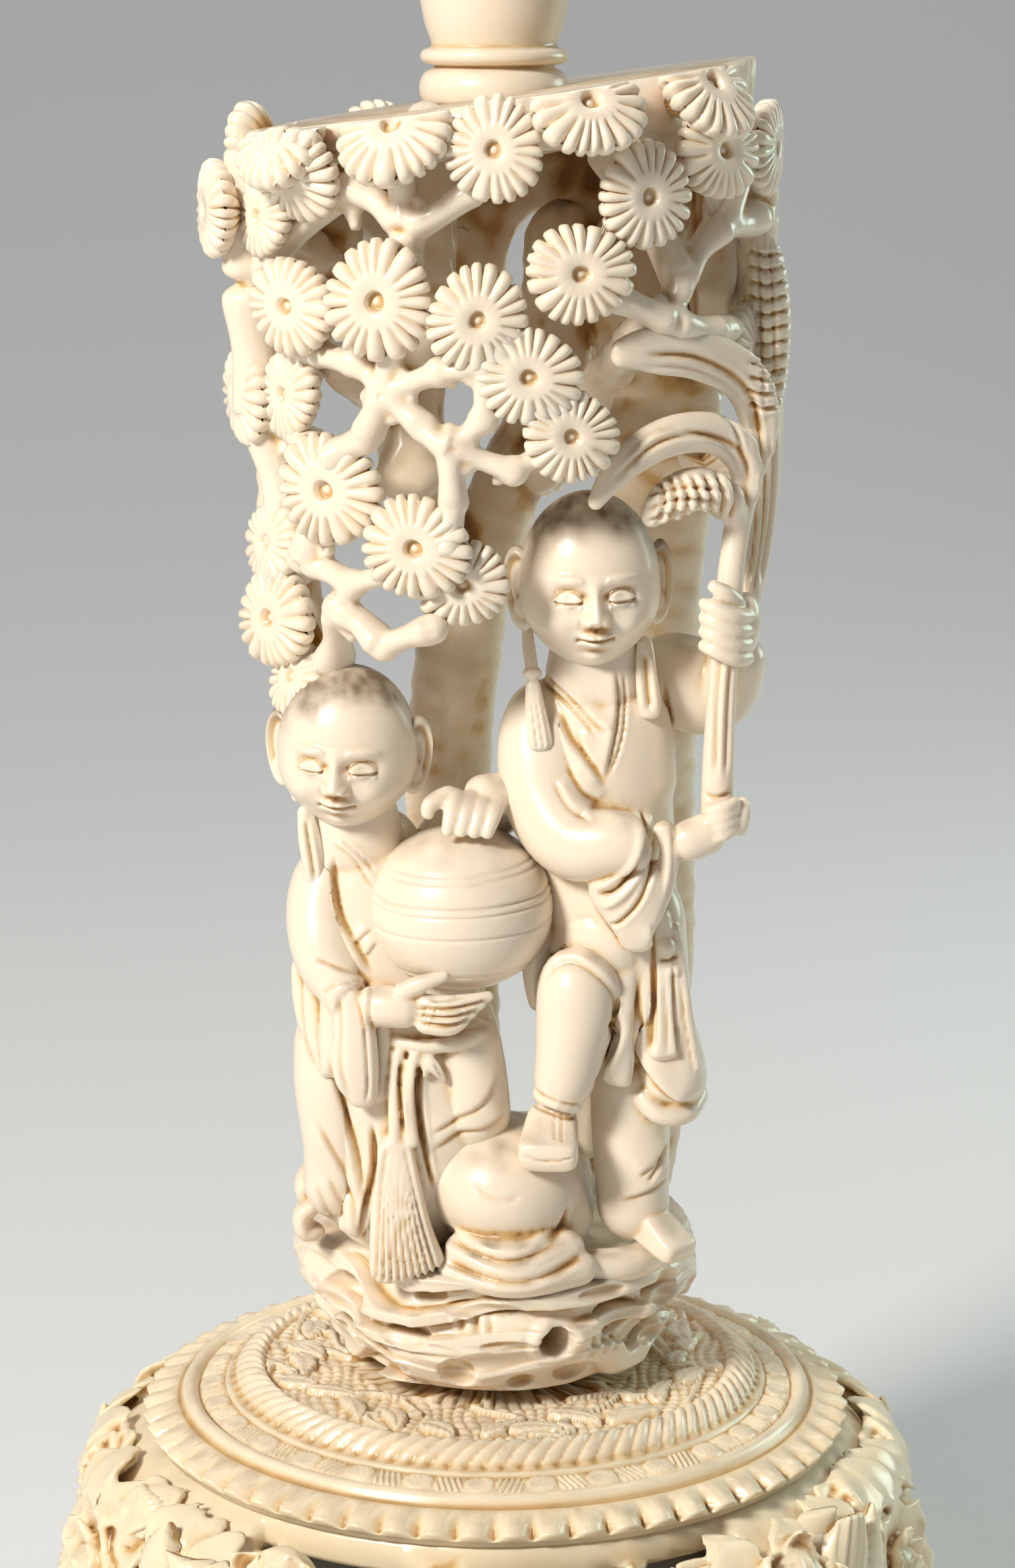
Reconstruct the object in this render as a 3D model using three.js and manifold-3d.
// A carved ivory stand for a puzzle ball, in millimetres, +Z up, origin under the middle of its foot.
// From below: a plain foot ring, a pierced skirt of flowers, a domed plate with a toothed rim, a column
// carved from one length of tusk with two boys under pine trees, and a turned stem with a cup for the ball.
import * as THREE from "three";
import { mergeVertices } from "three/addons/utils/BufferGeometryUtils.js";
import Module from "manifold-3d";

const wasm = await Module();
wasm.setup();

// Driving dimensions of the base
const footHeight = 5;
const footOverhang = 1.5;
const skirtRadius = 58.5;
const skirtOverhang = 1;
const skirtWall = 5.5;
const plateRadius = 46;
const plateRimTop = 42.8;
const plateRimThickness = 3;
const plateFieldRadius = 30.4;
const plateFieldTop = 48;
const toothCount = 60;
const toothDepth = 1.3;

// Driving dimensions of the column
const seatRadius = 17;
const seatHeight = 1.2;
const rockTop = 67;
const tuskRadiusLow = 25.4;
const tuskRadiusHigh = 35.9;
const tuskLow = 62;
const tuskHigh = 209;
const canopyTop = 209.5;
const canopyTilt = THREE.MathUtils.degToRad(8.4);
const canopySlabThickness = 6;
const canopyWall = 5;
const canopyWallHeight = 23.5;
const rockHoleRadius = 2;

// Driving dimensions of the turned stem
const stemBottom = 208.5;
const stemRadius = 9.2;
const stemNeckRadius = 6.95;
const cushionHeight = 4.6;
const ringHeight = 2.1;
const vaseFootRadius = 7.5;
const vaseRadius = 9.35;
const vaseHeight = 23;
const slimNeckRadius = 3.8;
const collarRadius = 6.4;
const cupRadius = 14;
const cupHeight = 11;
const cupDepth = 5.2;
const cupFloorRadius = 7;
const seatClearance = 2.4;

const columnBottom = plateFieldTop + seatHeight;
const skirtTop = plateRimTop - plateRimThickness;
const skirtTopRadius = plateRadius - skirtOverhang;
const footRadius = skirtRadius + footOverhang;
const footWall = skirtWall + footOverhang;
const weldDistances = [0.4, 0.3, 0.2, 0.15, 0.1, 0.05];
const ivory = { color: 0xeadfc6, roughness: 0.38, metalness: 0 };

// The tusk's radius at a height: it widens steadily upwards.
function tuskRadius(height) {
  const share = (height - tuskLow) / (tuskHigh - tuskLow);
  return tuskRadiusLow + (tuskRadiusHigh - tuskRadiusLow) * share;
}

// The radius at a height of the tusk that the carving is drawn on.
function drawnRadius(height) {
  return 25.4 + (height - 62) * (10.5 / 147);
}

// A drawn point at a bearing round the column, in degrees from the front, and a share of the drawn radius.
function onTusk(bearing, height, share) {
  const turn = THREE.MathUtils.degToRad(bearing);
  const radius = drawnRadius(height) * share;
  return [radius * Math.sin(turn), -radius * Math.cos(turn), height];
}

// The drawn tusk stands from 49.2 to 209.5 high. This moves a drawn point to its place on the real one.
function fitted([x, y, z]) {
  const height = columnBottom + ((z - 49.2) / 160.3) * (canopyTop - columnBottom);
  const girth = tuskRadius(height) / drawnRadius(z);
  return [x * girth, y * girth, height];
}

// A closed geometry as a solid that can be joined and cut.
function solidOf(geometry) {
  const bare = geometry.index ? geometry.toNonIndexed() : geometry.clone();
  for (const name of Object.keys(bare.attributes)) {
    if (name !== "position") bare.deleteAttribute(name);
  }
  const merged = mergeVertices(bare, 1e-4);
  return new wasm.Manifold(
    new wasm.Mesh({
      numProp: 3,
      vertProperties: merged.attributes.position.array,
      triVerts: new Uint32Array(merged.index.array),
    }),
  );
}

function joined(solids) {
  return solids.reduce((sum, solid) => sum.add(solid));
}

// The same solid with close vertices made one, which clears the slivers that joins leave. It takes the
// largest of the weld distances that leaves every edge between just two faces.
function welded(solid) {
  const { vertProperties, triVerts } = solid.getMesh();
  for (const distance of weldDistances) {
    const geometry = new THREE.BufferGeometry();
    geometry.setAttribute("position", new THREE.BufferAttribute(vertProperties, 3));
    geometry.setIndex(new THREE.BufferAttribute(triVerts, 1));
    const merged = mergeVertices(geometry, distance);
    const corners = merged.index.array;
    const kept = [];
    const edgeUses = new Map();
    for (let i = 0; i < corners.length; i += 3) {
      const [a, b, c] = corners.slice(i, i + 3);
      if (a === b || b === c || c === a) continue;
      kept.push(a, b, c);
      for (const [from, to] of [[a, b], [b, c], [c, a]]) {
        const edge = `${Math.min(from, to)} ${Math.max(from, to)}`;
        edgeUses.set(edge, (edgeUses.get(edge) ?? 0) + 1);
      }
    }
    if ([...edgeUses.values()].some((uses) => uses !== 2)) continue;
    const vertices = merged.attributes.position.array;
    return new wasm.Manifold(
      new wasm.Mesh({ numProp: 3, vertProperties: vertices, triVerts: new Uint32Array(kept) }),
    );
  }
  return solid;
}

function cutFrom(solid, cutters) {
  return cutters.reduce((rest, cutter) => rest.subtract(cutter), solid);
}

function meshOf(name, solid) {
  const cut = solid.getMesh();
  const geometry = new THREE.BufferGeometry();
  geometry.setAttribute("position", new THREE.BufferAttribute(new Float32Array(cut.vertProperties), 3));
  geometry.setIndex(new THREE.BufferAttribute(new Uint32Array(cut.triVerts), 1));
  geometry.computeVertexNormals();
  const mesh = new THREE.Mesh(geometry, new THREE.MeshStandardMaterial(ivory));
  mesh.name = name;
  return mesh;
}

// Moves every vertex of a geometry to where place(x, y, z) says.
function reshaped(geometry, place) {
  const at = geometry.attributes.position;
  for (let i = 0; i < at.count; i++) {
    at.setXYZ(i, ...place(at.getX(i), at.getY(i), at.getZ(i)));
  }
  return geometry;
}

// A value along a list of stations, with straight steps between them.
function along(stations, share) {
  const place = share * (stations.length - 1);
  const low = Math.min(Math.floor(place), stations.length - 2);
  return stations[low] + (stations[low + 1] - stations[low]) * (place - low);
}

// A round-ended limb: an elliptical section of half widths `wide` and half depths `deep` along a smooth path.
// The depth lies towards `front`, and both half sizes are given at even stations along the path.
function limb({ path, wide, deep = wide, sides = 7, rows = 5, front = [0, -1, 0], place = fitted }) {
  const curve = new THREE.CatmullRomCurve3(path.map((p) => new THREE.Vector3(...p)));
  const ahead = new THREE.Vector3(...front).normalize();
  const geometry = new THREE.SphereGeometry(1, sides, rows);
  return solidOf(
    reshaped(geometry, (x, y, z) => {
      const share = Math.acos(THREE.MathUtils.clamp(y, -1, 1)) / (2 * Math.PI) + (1 - y) / 4;
      const centre = curve.getPoint(share);
      const tangent = curve.getTangent(share);
      const across = new THREE.Vector3().crossVectors(ahead, tangent).normalize();
      const depth = new THREE.Vector3().crossVectors(tangent, across);
      const girth = Math.hypot(x, z);
      const swell = girth < 1e-6 ? 0 : Math.sqrt(girth) / girth;
      centre.addScaledVector(across, x * swell * along(wide, share));
      centre.addScaledVector(depth, z * swell * along(deep, share));
      return place([centre.x, centre.y, centre.z]);
    }),
  );
}

// An egg shape of three half sizes, leaned by an angle about the front-to-back axis.
function blob([x, y, z], [wide, deep, high], { sides = 10, rows = 7, lean = 0 } = {}) {
  const geometry = new THREE.SphereGeometry(1, sides, rows).rotateX(Math.PI / 2);
  geometry.scale(wide, deep, high).rotateY(THREE.MathUtils.degToRad(lean));
  return solidOf(reshaped(geometry.translate(x, y, z), (...point) => fitted(point)));
}

// A fan of pine needles: a cone with its scalloped flat face outwards and its point at a root on a branch.
function pineFan({ at: [bearing, height, share = 1], radius, root, lift = 0, turn = 0, needles = 6 }) {
  const cone = new THREE.ConeGeometry(1, 1, needles * 2, 1).rotateX(Math.PI);
  const step = Math.PI / needles;
  const facing = new THREE.Vector3(...onTusk(bearing + turn, 0, 1)).setZ(0).normalize();
  facing.multiplyScalar(Math.cos(THREE.MathUtils.degToRad(lift)));
  facing.z = Math.sin(THREE.MathUtils.degToRad(lift));
  const aim = new THREE.Quaternion().setFromUnitVectors(new THREE.Vector3(0, 1, 0), facing);
  const centre = onTusk(bearing, height, share);
  const rootPoint = onTusk(root[0], root[1], root[2] ?? 0.86);
  return solidOf(
    reshaped(cone, (x, y, z) => {
      const girth = Math.hypot(x, z);
      if (girth < 1e-6 && y < 0) return fitted(rootPoint);
      const odd = Math.round(Math.atan2(x, z) / step) % 2 !== 0;
      const reach = girth < 1e-6 ? 0 : (radius * (odd ? 0.84 : 1)) / girth;
      const rise = girth < 1e-6 ? -radius * 0.12 : odd ? -0.5 : 0.3;
      const point = new THREE.Vector3(x * reach, rise, z * reach).applyQuaternion(aim);
      return fitted([point.x + centre[0], point.y + centre[1], point.z + centre[2]]);
    }),
  );
}

// A solid of revolution about the vertical axis, from [radius, height] points that close on the axis.
function turned(profile, segments) {
  const points = profile.map(([radius, height]) => new THREE.Vector2(radius, height));
  return new THREE.LatheGeometry(points, segments).rotateX(Math.PI / 2);
}

function footRing() {
  const inner = footRadius - footWall;
  const profile = [
    [inner, 0],
    [footRadius - 0.8, 0],
    [footRadius, 2],
    [footRadius - 1.4, footHeight],
    [inner, footHeight],
    [inner, 0],
  ];
  return solidOf(turned(profile, 32));
}

// The skirt's outer radius at a height: a quarter of an ellipse from its widest to its top.
function skirtRadiusAt(height) {
  const share = THREE.MathUtils.clamp((height - footHeight) / (skirtTop - footHeight), 0, 1);
  const round = Math.sqrt(1 - Math.pow(share, 2.4));
  return skirtTopRadius + (skirtRadius - skirtTopRadius) * round;
}

// A point on the skirt at a bearing in degrees and a height, raised above its surface by a lift.
function onSkirt(bearing, height, lift) {
  const turn = THREE.MathUtils.degToRad(bearing);
  const radius = skirtRadiusAt(height) + lift;
  return [radius * Math.sin(turn), -radius * Math.cos(turn), height];
}

// A whorl of petals: a low cone whose edge is scalloped, with its point outwards.
function petalWhorl(centre, outward, radius, petals, rise, turn) {
  const whorl = new THREE.ConeGeometry(1, 1, petals * 2, 1);
  const aim = new THREE.Quaternion().setFromUnitVectors(new THREE.Vector3(0, 1, 0), outward);
  reshaped(whorl, (x, y, z) => {
    const girth = Math.hypot(x, z);
    if (girth < 1e-6) return [0, y > 0 ? rise : -5, 0];
    const odd = Math.round((Math.atan2(x, z) * petals) / Math.PI) % 2 !== 0;
    const reach = (radius * (odd ? 0.8 : 1)) / girth;
    return [x * reach, odd ? -0.8 : 0.8, z * reach];
  });
  return solidOf(whorl.rotateY(turn).applyQuaternion(aim).translate(...centre));
}

function peony(bearing, height, radius) {
  const centre = onSkirt(bearing, height, -1);
  const outward = new THREE.Vector3(centre[0], centre[1], height * 0.45).normalize();
  const middle = outward.clone().multiplyScalar(1.6);
  const inner = [centre[0] + middle.x, centre[1] + middle.y, centre[2] + middle.z];
  return petalWhorl(centre, outward, radius, 6, 1, 0).add(petalWhorl(inner, outward, radius * 0.6, 4, 1.4, 0.6));
}

// A pointed leaf that lies on the skirt from one bearing and height to another.
function skirtLeaf([bearingA, heightA], [bearingB, heightB], width) {
  const middle = onSkirt((bearingA + bearingB) / 2, (heightA + heightB) / 2, 0);
  const path = [onSkirt(bearingA, heightA, -2.4), middle, onSkirt(bearingB, heightB, -1.6)];
  const front = [middle[0], middle[1], 0];
  const wide = [width * 0.5, width, width * 0.3];
  return limb({ path, wide, deep: [1.6, 1.9, 1], sides: 4, rows: 4, front, place: (point) => point });
}

function flowerSkirt() {
  const bays = 12;
  const bay = 360 / bays;
  const levels = [footHeight, 21, 32, skirtTop];
  const outer = levels.map((height) => [skirtRadiusAt(height) - 1, height]);
  const inner = [
    [skirtRadiusAt(skirtTop) - skirtWall, skirtTop],
    [skirtRadiusAt(28) - skirtWall, 28],
    [skirtRadiusAt(footHeight) - skirtWall, footHeight],
  ];
  const shell = solidOf(turned([...outer, ...inner, outer[0]], 20));
  const windows = [];
  const carving = [];
  for (let i = 0; i < bays; i++) {
    const bearing = bay * i;
    const lower = i % 2 ? [[12.5, 5, 4.4]] : [];
    for (const [height, wide, high] of [[33.4, 5.6, 4.2], ...lower]) {
      const hole = new THREE.CylinderGeometry(1, 1, 22, 4).rotateY(Math.PI / 4).scale(wide, 1, high);
      hole.translate(0, 5 - skirtRadiusAt(height), 0).rotateZ(THREE.MathUtils.degToRad(bearing + bay / 2));
      windows.push(solidOf(hole.translate(0, 0, height)));
    }
    if (i % 2 === 0) {
      carving.push(peony(bearing, 22.5, 11));
    } else {
      carving.push(skirtLeaf([bearing + 4, 9], [bearing - 6, 35], 6));
      carving.push(skirtLeaf([bearing - 2, 22], [bearing + 10, 37.5], 4.5));
    }
  }
  return welded(joined([cutFrom(shell, windows), ...carving]));
}

// The toothed rim of the plate, and the dome that it carries with its carved bands.
function plate() {
  const rim = new THREE.Shape();
  const points = toothCount * 2;
  for (let i = 0; i < points; i++) {
    const turn = (Math.PI * 2 * i) / points;
    const radius = i % 2 ? plateRadius - toothDepth : plateRadius;
    rim[i ? "lineTo" : "moveTo"](radius * Math.cos(turn), radius * Math.sin(turn));
  }
  const slab = new THREE.ExtrudeGeometry(rim, { depth: plateRimThickness, bevelEnabled: false });
  slab.translate(0, 0, plateRimTop - plateRimThickness);
  const bead = plateRimTop + 1.1;
  const profile = [
    [0, plateRimTop - 1],
    [plateRadius - 3, plateRimTop - 1],
    [plateRadius - 3, bead - 0.4],
    [plateRadius - 4, bead],
    [plateRadius - 5.4, plateRimTop + 0.6],
    [plateFieldRadius + 5.1, plateFieldTop - 2.6],
    [plateFieldRadius + 1.2, plateFieldTop],
    [seatRadius, plateFieldTop],
    [seatRadius, columnBottom],
    [0, columnBottom],
  ];
  return solidOf(slab).add(solidOf(turned(profile, 30)));
}

function turnedStem() {
  const ringLow = stemBottom + cushionHeight;
  const vaseLow = ringLow + ringHeight;
  const vaseTop = vaseLow + vaseHeight;
  const cupLow = vaseTop + 3.4;
  const cupTop = cupLow + cupHeight;
  const profile = [
    [0, stemBottom],
    [stemRadius - 0.7, stemBottom],
    [stemRadius, stemBottom + 1.8],
    [stemNeckRadius, ringLow],
    [stemRadius - 0.4, ringLow],
    [stemRadius, ringLow + ringHeight / 2],
    [stemRadius - 0.4, vaseLow],
    [vaseFootRadius, vaseLow],
    [vaseRadius - 0.5, vaseLow + vaseHeight * 0.22],
    [vaseRadius, vaseLow + vaseHeight * 0.4],
    [vaseRadius - 1.8, vaseLow + vaseHeight * 0.62],
    [slimNeckRadius, vaseTop],
    [collarRadius, vaseTop + 0.7],
    [collarRadius, vaseTop + 2.3],
    [slimNeckRadius + 0.4, cupLow],
    [cupRadius * 0.55, cupLow + cupHeight * 0.3],
    [cupRadius, cupTop - 1.2],
    [cupRadius - 1.6, cupTop],
    [cupFloorRadius, cupTop - cupDepth],
    [0, cupTop - cupDepth],
  ];
  return solidOf(turned(profile, 16));
}

// The rocky ground of the column: ledges that run round it, with a drilled hole at the front.
function rock() {
  const low = columnBottom;
  const profile = [
    [0, low],
    [seatRadius, low],
    [tuskRadiusLow - 4.6, low + 1.4],
    [tuskRadiusLow - 1.4, low + 7],
    [tuskRadiusLow + 0.3, rockTop - 4],
    [tuskRadiusLow - 2, rockTop],
    [0, rockTop],
  ];
  const body = reshaped(turned(profile, 18), (x, y, z) => {
    const round = Math.hypot(x, y);
    if (round < seatRadius + 1) return [x, y, z];
    const turn = Math.atan2(y, x);
    const ledge = 1 + 0.03 * Math.sin(turn * 5 + z) + 0.02 * Math.sin(turn * 8 - z * 0.7);
    return [x * ledge, y * ledge, z];
  });
  const hole = new THREE.CylinderGeometry(rockHoleRadius, rockHoleRadius, 12, 6);
  hole.translate(0, -tuskRadiusLow + 3, low + 8.5).rotateZ(THREE.MathUtils.degToRad(18));
  return solidOf(body).subtract(solidOf(hole));
}

function boulder() {
  return [
    blob([1.4, -13.6, 75.6], [10.6, 11.4, 8.8], { sides: 10, rows: 6, lean: 6 }),
    blob([2, 13, 67], [17, 9.5, 9], { sides: 8, rows: 5, lean: -8 }),
    limb({ path: [[-7, -21.6, 68.6], [2, -24.8, 68], [11.4, -21.4, 68.6]], wide: [2.6, 2.8, 2.6], sides: 6, rows: 4 }),
  ];
}

// The boy at the left, who holds the round box.
function boyWithBox() {
  const box = turned(
    [
      [0, -10],
      [5.5, -9.2],
      [9.8, -5.4],
      [11.4, 0],
      [9.8, 5.6],
      [5.8, 9.6],
      [0, 10],
    ],
    12,
  );
  return [
    blob([-17.9, -15.6, 131.8], [8.5, 8.8, 10.2], { sides: 10, rows: 6 }),
    blob([-25.6, -12, 129.6], [1.8, 2.6, 5], { sides: 5, rows: 4 }),
    blob([-9.1, -12, 132], [2.2, 3, 6], { sides: 5, rows: 4 }),
    limb({ path: [[-17.4, -13.5, 127], [-16.6, -13, 114]], wide: [4.8, 6], sides: 6, rows: 4 }),
    limb({
      path: [[-16.8, -12, 121], [-15.4, -12, 110], [-13.4, -12, 96], [-12, -11.5, 82], [-12, -10.5, 64]],
      wide: [5.5, 10.2, 11.2, 12.8, 13],
      deep: [5, 8.4, 9, 10, 10.5],
      sides: 7,
      rows: 6,
    }),
    limb({
      path: [[-20, -11, 118], [-24, -14, 108], [-20.6, -19.6, 101.4], [-11, -23.6, 101.4], [-0.4, -24, 102.6]],
      wide: [4, 4.6, 4.2, 2.8, 1.2],
      deep: [4, 4.2, 3, 2, 1.2],
      sides: 6,
      rows: 7,
    }),
    limb({ path: [[-19.4, -19, 103], [-17.6, -22, 95], [-14.8, -21.6, 87.6]], wide: [3.6, 4.2, 2.2], deep: [2.4, 2.4, 1.4], sides: 5, rows: 4 }),
    solidOf(reshaped(box.translate(-4.1, -16.8, 111.8), (...point) => fitted(point))),
    limb({
      path: [[-7.4, -19.4, 123.6], [-2.4, -21, 124.8], [3, -17, 125.2], [2.2, -11, 123], [-8, -9, 116]],
      wide: [1.6, 3.2, 3.2, 3.6, 4],
      deep: [1.6, 2.2, 2.6, 3.2, 4],
      sides: 6,
      rows: 6,
    }),
    limb({ path: [[-22.4, -10, 106], [-24.6, -8.6, 94], [-23, -10.4, 80], [-20.6, -13, 68]], wide: [2.6, 3.4, 3.4, 3], deep: [6, 8, 8, 6], sides: 6, rows: 5 }),
    limb({ path: [[-9, -19.6, 97], [-10, -22.4, 84], [-10, -23.6, 76], [-8.6, -22.4, 66]], wide: [1.6, 2.8, 4.6, 6], deep: [2, 2.2, 2.4, 2.6], sides: 6, rows: 5 }),
    blob([-21, -14.4, 69.6], [4.4, 5.4, 3.4], { sides: 6, rows: 4 }),
    limb({ path: [[-5, -16, 98], [-2.6, -14, 84], [-2.4, -12, 66]], wide: [4, 4.4, 5.4], deep: [4, 5, 6], sides: 5, rows: 4 }),
  ];
}

// The boy at the right, who holds the tall stalk and sets one foot on the boulder.
function boyWithStalk() {
  return [
    blob([11.6, -15.4, 152.2], [8.7, 8.9, 10.8], { sides: 10, rows: 6 }),
    blob([2.9, -12, 150.6], [2.1, 3, 5.8], { sides: 5, rows: 4 }),
    blob([19.8, -11.6, 152], [1.8, 2.6, 5], { sides: 5, rows: 4 }),
    limb({ path: [[12.6, -13.4, 147], [12.8, -13, 133]], wide: [5, 6.6], sides: 6, rows: 4 }),
    limb({
      path: [[12.8, -11.6, 140.5], [13.2, -12, 128], [14.4, -12, 114], [16.2, -12, 100], [17.6, -12, 86]],
      wide: [6.6, 9, 8.6, 9, 9.4],
      deep: [5, 8, 8, 8.2, 7.6],
      sides: 7,
      rows: 6,
    }),
    limb({
      path: [[7.4, -12, 138], [4.6, -15.4, 128], [7.6, -20, 119.6], [14, -22.6, 119.6], [21.4, -21.4, 122], [29, -17.6, 124.8]],
      wide: [3.6, 4.8, 5, 4.8, 3.6, 2],
      deep: [3.6, 4.4, 4.6, 4, 3, 2],
      sides: 6,
      rows: 7,
    }),
    limb({ path: [[18.4, -20.6, 121], [18.6, -22.6, 113.6], [17.2, -21.6, 106.6]], wide: [4.2, 4.6, 1.8], deep: [2.8, 2.4, 1.6], sides: 5, rows: 4 }),
    limb({ path: [[14, -11, 135], [24, -7, 136], [30.4, -9.6, 138.6], [29.4, -15.6, 147]], wide: [4.6, 5.6, 4.6, 3.4], deep: [4.4, 4.2, 3.8, 3], sides: 6, rows: 6 }),
    blob([28.1, -18, 147], [3.6, 3.6, 4.8], { sides: 6, rows: 5 }),
    limb({ path: [[27, -17.6, 122], [27.4, -18.4, 136], [28, -17.6, 148], [29.4, -16.4, 158], [31.2, -14.4, 170]], wide: [2.4, 2.2, 2.2, 2, 2], rows: 6, sides: 4 }),
    limb({ path: [[30, -15.6, 158], [29.4, -18.4, 168], [23.6, -22.6, 170.6], [17.2, -25.4, 169], [11.6, -26.4, 162]], wide: [1.6, 2.2, 2.3, 2, 1.2], rows: 6, sides: 4 }),
    limb({ path: [[31.4, -13.6, 162], [32, -14.6, 173], [28.6, -19, 178.6], [22.6, -23.4, 180.4], [15, -27.4, 180.4]], wide: [1.8, 2.7, 2.7, 2.6, 2.2], deep: [1.6, 1.8, 1.8, 1.8, 1.6], rows: 6, sides: 4 }),
    limb({ path: [[29.4, -14, 144], [32.4, -8.6, 158], [33.6, -6, 170], [32.4, -6.6, 186]], wide: [1.8, 3, 3.2, 2.6], deep: [1.8, 2, 2, 1.8], rows: 5, sides: 5, front: [1, -0.3, 0] }),
    limb({ path: [[30, -16, 158], [26.6, -19.8, 163.6], [22.4, -21.2, 163.6], [18.8, -21.4, 160.6]], wide: [1.6, 2.3, 2.6, 1.8], rows: 5, sides: 5 }),
    limb({ path: [[15, -10, 106], [10.8, -18.6, 110.4], [9.8, -20.4, 101], [7.9, -19.2, 84]], wide: [6, 6, 5.6, 3.6], sides: 7, rows: 7 }),
    limb({ path: [[8, -17, 88], [7, -22.4, 85], [6.4, -26, 81.6]], wide: [3.6, 3.9, 3], deep: [2.8, 3, 2], sides: 6, rows: 4, front: [0, -0.3, 1] }),
    limb({ path: [[17, -12, 94], [17.4, -12.4, 80], [19.6, -13.4, 71.6], [23, -18.6, 68]], wide: [4.8, 4.6, 3.8, 2.8], sides: 6, rows: 6 }),
    limb({ path: [[20.8, -11, 110], [23.2, -11, 97], [24.4, -12, 86.6]], wide: [3.6, 3.8, 3.2], deep: [4.6, 6, 6], sides: 5, rows: 4 }),
    limb({ path: [[20, -17.4, 118], [21.6, -18.4, 105], [22.4, -17, 92]], wide: [1.6, 2.2, 2.6], deep: [2, 2, 2], sides: 5, rows: 4 }),
    limb({ path: [[12, -10, 84], [9, -8, 74], [8, -8, 63]], wide: [4, 3.6, 4.4], sides: 5, rows: 4 }),
  ];
}

// The pine trees: trunks behind the boys, then the branches in front, each along points on the tusk.
function trees() {
  const branch = (points, wide) => {
    const path = points.map(([bearing, height, share = 0.88]) => onTusk(bearing, height, share));
    return limb({ path, wide, sides: 5, rows: points.length + 2, front: [path[0][0], path[0][1], 0] });
  };
  return [
    limb({
      path: [[-6, 9, 64], [-6, 11, 96], [-5.8, 10, 124], [-4.6, 11, 140], [1, 13, 158], [7, 16, 172], [9, 20, 194]],
      wide: [8, 6.4, 5.4, 5.4, 4.6, 4.6, 5],
      sides: 7,
      rows: 8,
    }),
    limb({
      path: [[16, 15, 62], [20, 15, 96], [20.6, 13, 130], [20.4, 10.6, 152], [21.4, 12, 168], [18, 16, 194]],
      wide: [7, 6, 5.4, 6.6, 7.4, 8],
      deep: [6, 4.6, 4, 3.4, 3.4, 5],
      rows: 7,
    }),
    limb({
      path: [[-18, 10, 62], [-20.6, 9.5, 96], [-20.4, 7, 124], [-25.4, 1, 150], [-26, 5, 170], [-20, 14, 194]],
      wide: [5.4, 3.4, 3.2, 3.4, 3.4, 5],
      deep: [5.6, 4, 3.2, 3, 3, 4],
      rows: 7,
    }),
    limb({ path: [[-4, 11, 146], [-9.6, 6, 160], [-10, -2, 172], [-9, -6, 188], [-8, -2, 204]], wide: [4, 4, 4.4, 4, 4], rows: 6, sides: 6 }),
    branch([[-9, 160], [-14, 169], [-24, 178], [-20, 190], [-20, 207]], [1.6, 2, 2.6, 2.2, 2.2]),
    branch([[-24, 178, 0.84], [-30, 182, 0.6], [-20, 190, 0.3]], [2.6, 2.4, 3]),
    branch([[-60, 158], [-48, 154], [-34, 150], [-22, 146]], [2.2, 2, 1.8, 1.6]),
    branch([[-64, 207], [-68, 190], [-67, 172], [-60, 154], [-52, 138, 0.84]], [2.6, 2.2, 2.4, 2.6, 3]),
    branch([[24, 187], [36, 185], [50, 185], [66, 184], [84, 183]], [1.8, 2.6, 3, 2.4, 3]),
    branch([[46, 184], [56, 194], [66, 207]], [2.2, 2, 2.6]),
    branch([[80, 207], [78, 192], [82, 176], [96, 166, 0.7]], [2.6, 2, 2.4, 3.4]),
    branch([[44, 184, 0.84], [52, 188, 0.55], [70, 192, 0.3]], [2.6, 2.4, 3]),
  ];
}

// The fans at the front and sides, each with its place, radius and root as bearings, heights and shares.
const frontFans = [
  { at: [-43, 200.6], radius: 6.2, root: [-20, 198], lift: -28 },
  { at: [0, 204.4], radius: 5.6, root: [-20, 198], turn: -6 },
  { at: [50, 203.8], radius: 6, root: [57, 195], turn: -8 },
  { at: [73, 203.6], radius: 5.6, root: [79, 195] },
  { at: [31, 198.8], radius: 6, root: [40, 185] },
  { at: [17, 190.2], radius: 5.8, root: [34, 185], turn: -6 },
  { at: [-46, 185.8], radius: 5.8, root: [-24, 178], turn: 10 },
  { at: [-23, 187, 1.02], radius: 6.7, root: [-24, 178], turn: 6 },
  { at: [-3, 185], radius: 6, root: [-24, 178] },
  { at: [7, 178.4], radius: 5.8, root: [-14, 169] },
  { at: [16, 171.4], radius: 5.6, root: [-13, 167] },
  { at: [-38, 164.4], radius: 6.8, root: [-23, 177], turn: 10 },
  { at: [-17, 158.2], radius: 6.3, root: [-13, 168] },
  { at: [-7, 154, 0.94], radius: 5.2, root: [-10, 162] },
  { at: [-62, 147.4], radius: 6.4, root: [-57, 149, 0.76] },
  { at: [-64, 156.6, 0.97], radius: 5.2, root: [-61, 156, 0.78] },
  { at: [-70, 174.2], radius: 6, root: [-67, 175, 0.78] },
  { at: [-54, 175, 0.94], radius: 5.4, root: [-67, 174] },
  { at: [-66, 196.6, 1.1], radius: 5.6, root: [-67, 194, 0.8], turn: -8 },
  { at: [-55, 196, 0.98], radius: 4.8, root: [-67, 194] },
  { at: [70, 179.6], radius: 5.6, root: [66, 184, 0.8] },
  { at: [-58, 140.2, 0.96], radius: 4.4, root: [-54, 143, 0.76] },
];

// The fans along the cut top, which look outwards and up and are cut flat with it.
const topFans = [
  { at: [-46, 206], radius: 6.6, root: [-46, 204, 0.7], lift: 34 },
  { at: [-19, 207.4], radius: 7, root: [-19, 203, 0.7], lift: 34 },
  { at: [18, 210], radius: 6.6, root: [18, 205, 0.7], lift: 34 },
  { at: [45, 212], radius: 6.6, root: [45, 206, 0.7], lift: 34 },
];

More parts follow.
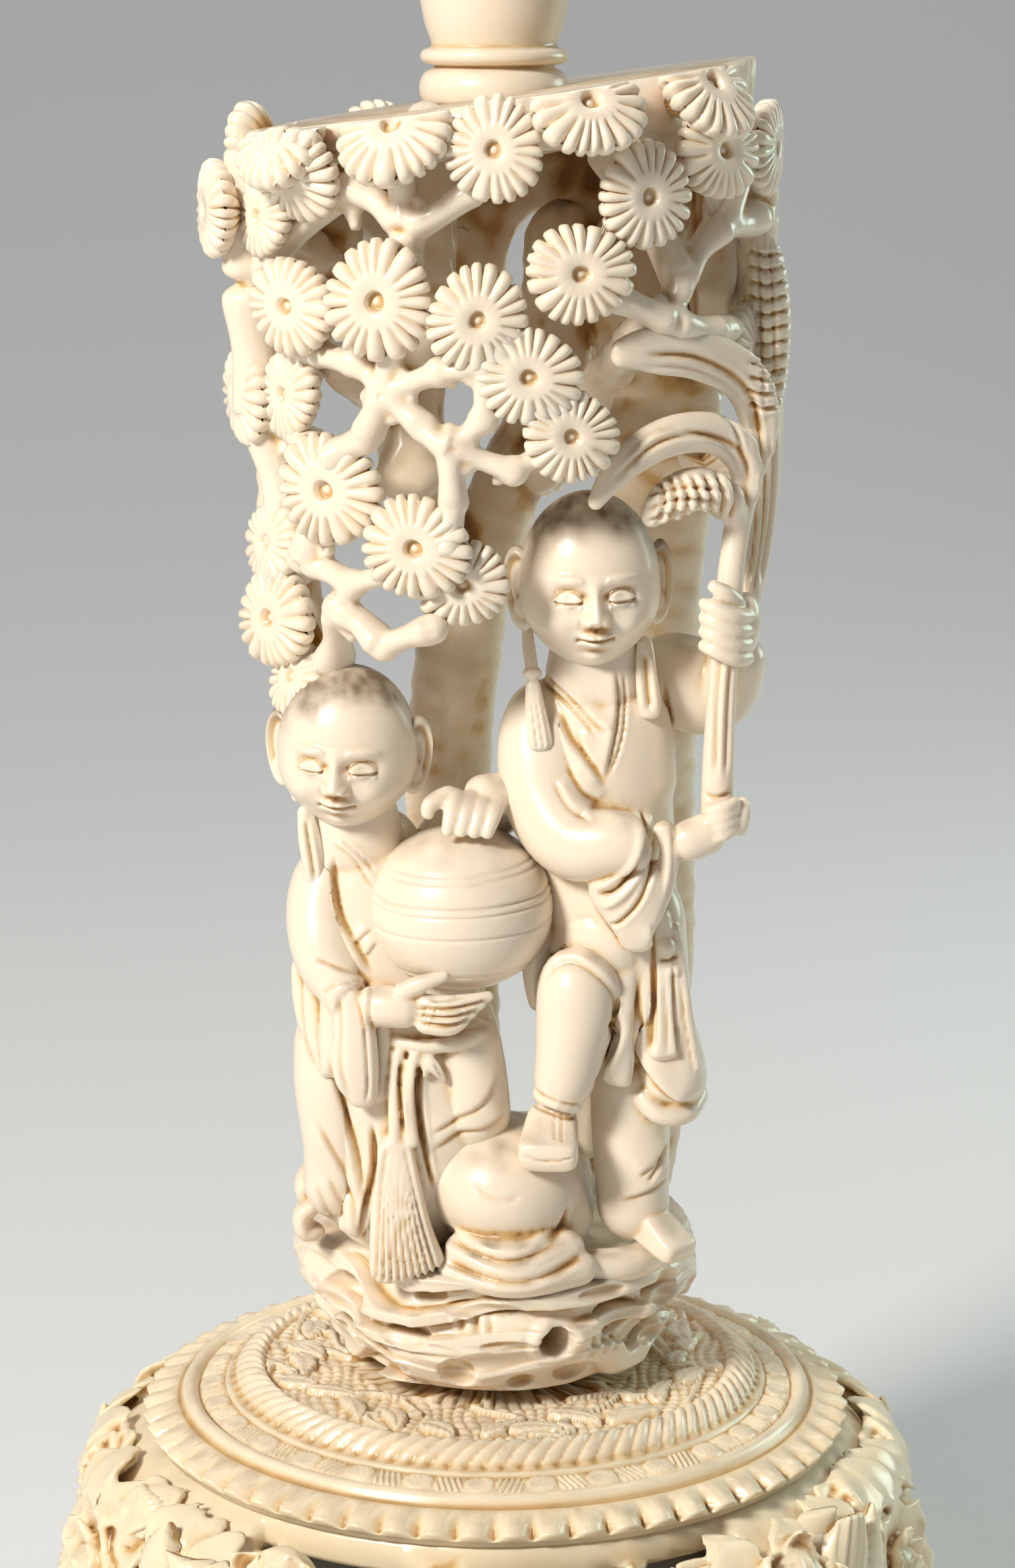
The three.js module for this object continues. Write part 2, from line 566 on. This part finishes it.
// The fans behind, in staggered rows. The upper two hang from the wall, and the lower two from the nearest
// of the three trunks, whose bearings and shares of the radius are given for the row.
function backFans() {
  const rows = [
    { height: 202, bearings: [120, 164, 208, 252] },
    { height: 188, bearings: [102, 146, 190, 234] },
    { height: 175, bearings: [120, 164, 208, 246], trunks: [[122, 0.72], [155, 0.52], [252, 0.77]] },
    { height: 162, bearings: [104, 170, 236], trunks: [[118, 0.73], [168, 0.45], [261, 0.83]] },
  ];
  const fans = [];
  for (const { height, bearings, trunks } of rows) {
    for (const bearing of bearings) {
      const near = (a, b) => Math.abs(a[0] - bearing) - Math.abs(b[0] - bearing);
      const [turn, share] = trunks ? [...trunks].sort(near)[0] : [bearing, 0.72];
      const radius = trunks ? 5.8 : 6.4;
      fans.push({ at: [bearing, height, 0.96], radius, root: [turn, height + 3, share], needles: 5 });
    }
  }
  return fans;
}

// The tusk's own wall, kept whole under the top and behind, and the slab that carries the stem.
function canopy() {
  const canopyWallLow = canopyTop - canopyWallHeight;
  const outer = tuskRadius(canopyWallLow) * 0.86;
  const outerTop = tuskRadius(tuskHigh) * 0.88;
  const tall = canopyTop + 12;
  const wall = turned(
    [
      [outer - canopyWall, canopyWallLow],
      [outer, canopyWallLow],
      [outerTop, canopyTop - 3],
      [outerTop, tall],
      [outerTop - canopyWall, tall],
      [outer - canopyWall, canopyWallLow],
    ],
    16,
  );
  const slab = new THREE.CylinderGeometry(outerTop - 1, outerTop - 2.5, 20, 16).rotateX(Math.PI / 2);
  slab.translate(0, 0, canopyTop - canopySlabThickness + 10);
  const opening = new THREE.BoxGeometry(90, 60, 40).translate(0, -34, canopyWallLow + 12);
  return solidOf(wall).subtract(solidOf(opening)).add(solidOf(slab));
}

function canopyWindows() {
  return [
    [168, 190, 4.2, 4.4],
    [140, 196, 3, 3.6],
    [222, 195, 3.4, 3.6],
  ].map(([bearing, height, wide, high]) => {
    const hole = new THREE.CylinderGeometry(1, 1, 20, 5).scale(wide, 1, high);
    hole.translate(0, -drawnRadius(height) * 0.8, 0).rotateZ(THREE.MathUtils.degToRad(bearing));
    return solidOf(reshaped(hole.translate(0, 0, height), (...point) => fitted(point)));
  });
}

function carvedColumn() {
  const whole = joined([
    rock(),
    ...boulder(),
    ...boyWithBox(),
    ...boyWithStalk(),
    ...trees(),
    cutFrom(canopy(), canopyWindows()),
    ...[...frontFans, ...topFans, ...backFans()].map(pineFan),
  ]);
  const above = new THREE.BoxGeometry(120, 120, 60).translate(0, 0, 30).rotateY(-canopyTilt);
  const pitRadius = stemRadius + seatClearance;
  const pit = new THREE.CylinderGeometry(pitRadius, pitRadius, 20, 16).rotateX(Math.PI / 2);
  const boss = new THREE.CylinderGeometry(pitRadius - 0.6, pitRadius - 0.6, 6, 16).rotateX(Math.PI / 2);
  const column = whole
    .subtract(solidOf(above.translate(0, 0, canopyTop)))
    .subtract(solidOf(pit.translate(0, 0, stemBottom + 10)))
    .add(solidOf(boss.translate(0, 0, stemBottom - 3)));
  return welded(column);
}

const stand = new THREE.Group();
stand.add(
  meshOf("foot_ring", footRing()),
  meshOf("flower_skirt", flowerSkirt()),
  meshOf("domed_plate", plate()),
  meshOf("carved_column", carvedColumn()),
  meshOf("turned_stem", turnedStem()),
);

export default stand;
